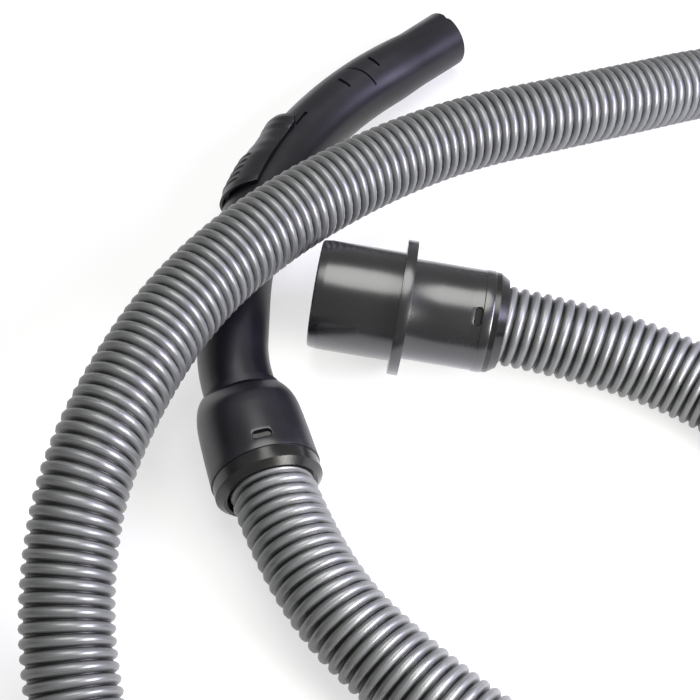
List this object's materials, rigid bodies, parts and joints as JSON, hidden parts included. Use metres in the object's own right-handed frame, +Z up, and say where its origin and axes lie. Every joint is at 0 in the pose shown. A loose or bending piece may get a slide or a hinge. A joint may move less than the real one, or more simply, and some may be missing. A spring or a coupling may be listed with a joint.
{
  "type": "vacuum cleaner hose",
  "caption": "Ribbed suction hose with a bent hand grip, a swivel cuff, a sliding air regulator and a flanged swivel machine connector.",
  "frame": {"origin": "on the plane that the part lies on, under the middle of the hand grip and the machine connector together", "axes": "+Z up; +X to the right and +Y away, as the picture is seen from the hose's side of the hand grip"},
  "size_m": [0.6084, 0.611, 0.0917],
  "materials": {
    "grip_plastic": "satin black",
    "ring_plastic": "glossy black",
    "felt": "pressed felt",
    "bush_plastic": "moulded",
    "hose_plastic": "silver grey, satin",
    "gasket": "soft rubber",
    "connector_plastic": "satin dark grey"
  },
  "bodies": {
    "hose": {"hand_grip": "grip_plastic", "grip_felt_ring": "felt", "grip_hose_bush": "bush_plastic", "hose_grip_end": "hose_plastic", "hose_outer_loop": "hose_plastic", "hose_bridge": "hose_plastic", "hose_inner_loop": "hose_plastic", "connector_hose_bush": "bush_plastic"},
    "suction_slide": {"suction_slide": "grip_plastic"},
    "grip_swivel": {"swivel_cuff": "grip_plastic", "cuff_latch_ring": "ring_plastic"},
    "connector": {"connector_latch_ring": "ring_plastic", "connector_gasket": "gasket", "machine_connector": "connector_plastic"}
  },
  "joints": [
    {"name": "cuff_swivel", "type": "hinge", "parent": "hose", "child": "grip_swivel", "pos_m": [-0.0394, -0.17167, 0.0272], "axis": [-0.2924, 0.9563, 0], "continuous": true},
    {"name": "regulator_slide", "type": "hinge", "parent": "hose", "child": "suction_slide", "pos_m": [0.18209, -0.05484, 0.01506], "axis": [-0.0471, -0.0144, -0.9988], "range_deg": [0, 3.2]},
    {"name": "connector_swivel", "type": "hinge", "parent": "hose", "child": "connector", "pos_m": [0.0773, -0.07347, 0.03098], "axis": [-0.9863, 0.1404, 0.0872], "continuous": true}
  ]
}
